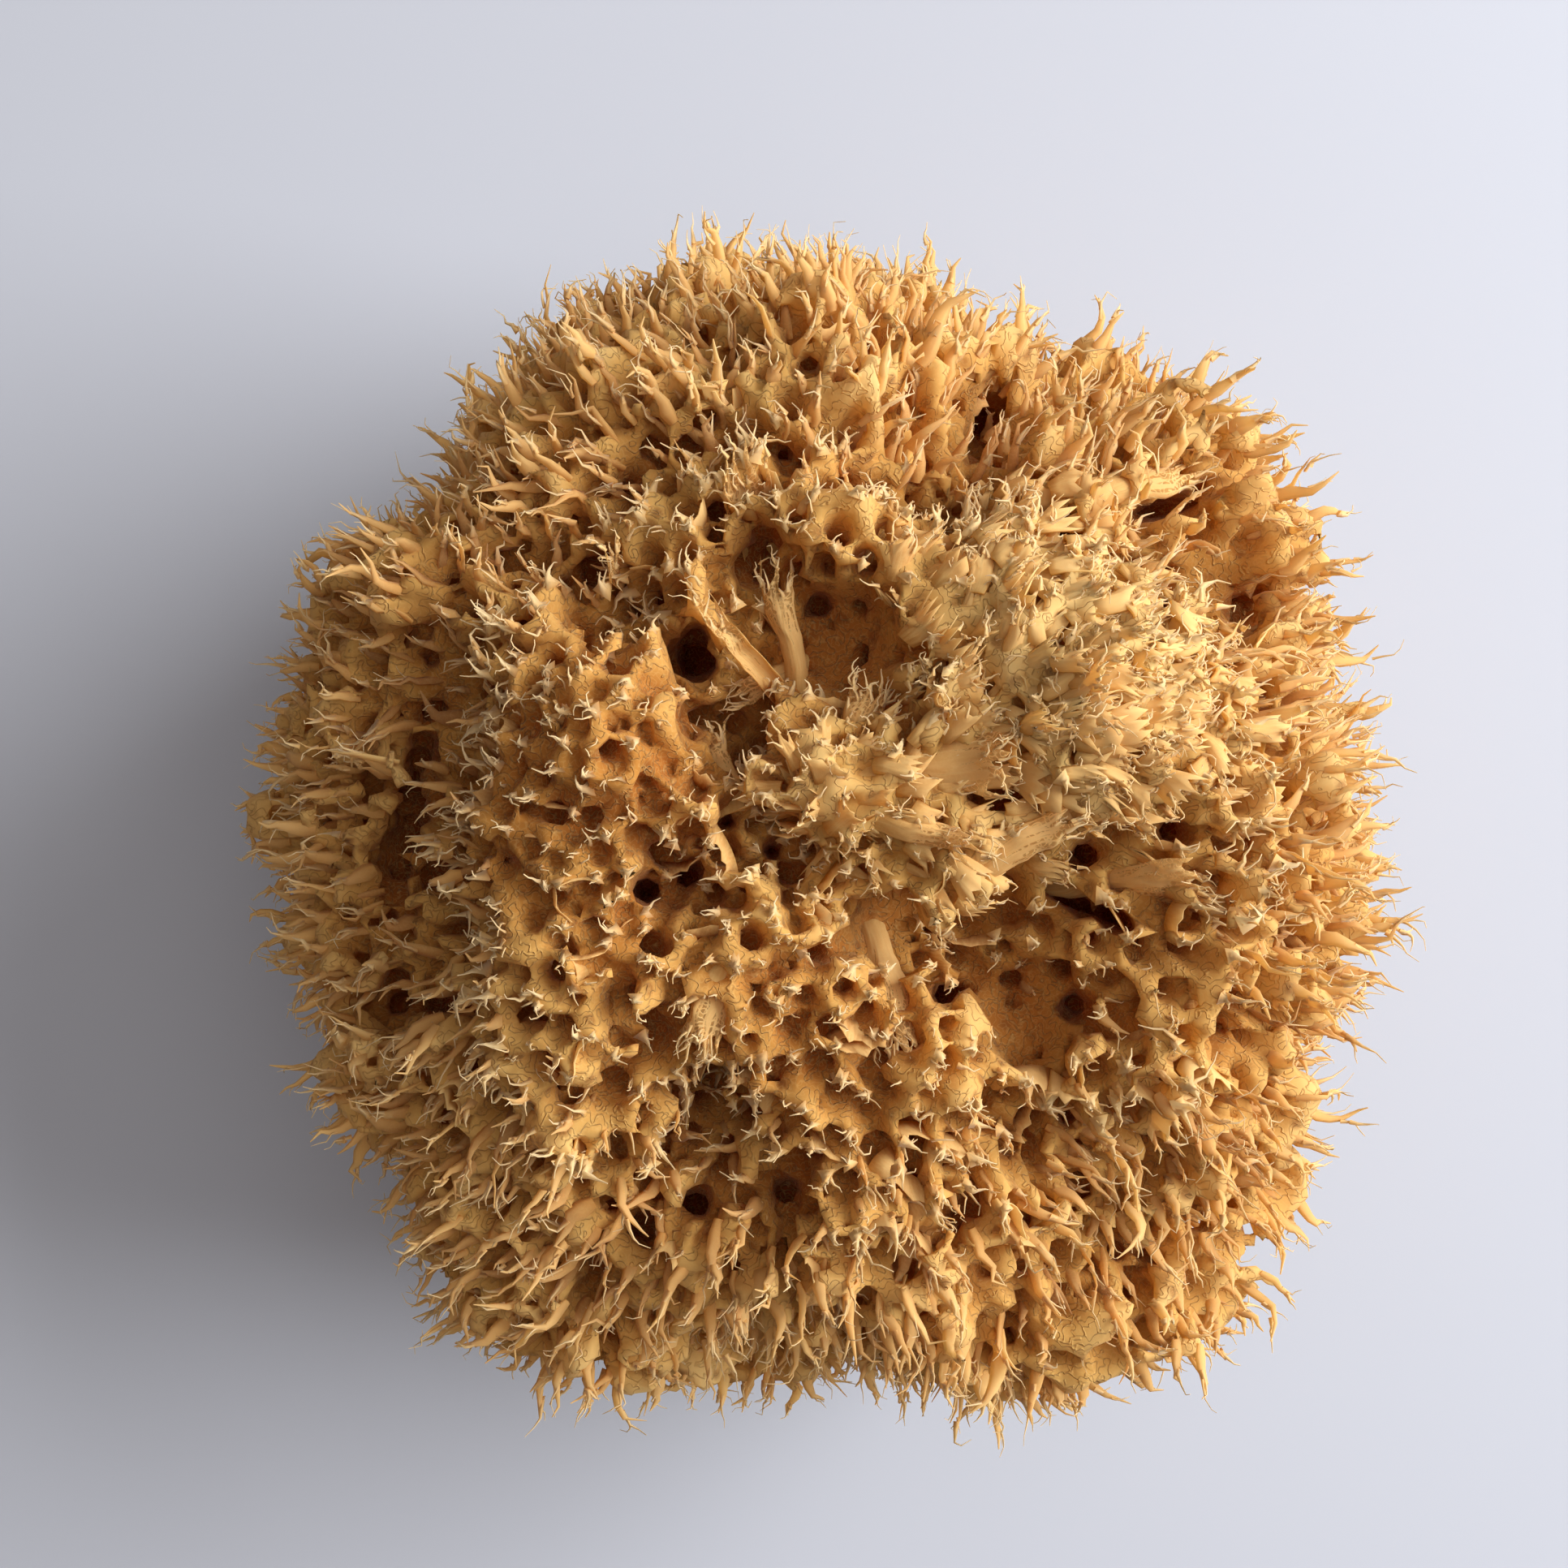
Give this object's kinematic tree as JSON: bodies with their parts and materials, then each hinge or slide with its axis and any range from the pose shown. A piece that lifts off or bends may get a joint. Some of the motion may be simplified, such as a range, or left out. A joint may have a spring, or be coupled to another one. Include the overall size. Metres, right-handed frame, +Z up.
{
  "type": "sea sponge",
  "caption": "Rounded, lobed natural bath sponge covered in fused fringed tufts with open canals between them, cut flat at the foot so that it stands on a surface.",
  "frame": {"origin": "middle of the sponge's outline, in the plane of the flat cut at its foot", "axes": "+Z up from the cut to the crown, +Y towards the top edge of the picture, +X towards its right edge"},
  "size_m": [0.08, 0.083, 0.058],
  "materials": {
    "spongin": "dry matt fibre, honey tan with paler frayed tips and red-brown canals"
  },
  "bodies": {
    "root": {"sponge": "spongin"}
  },
  "joints": []
}
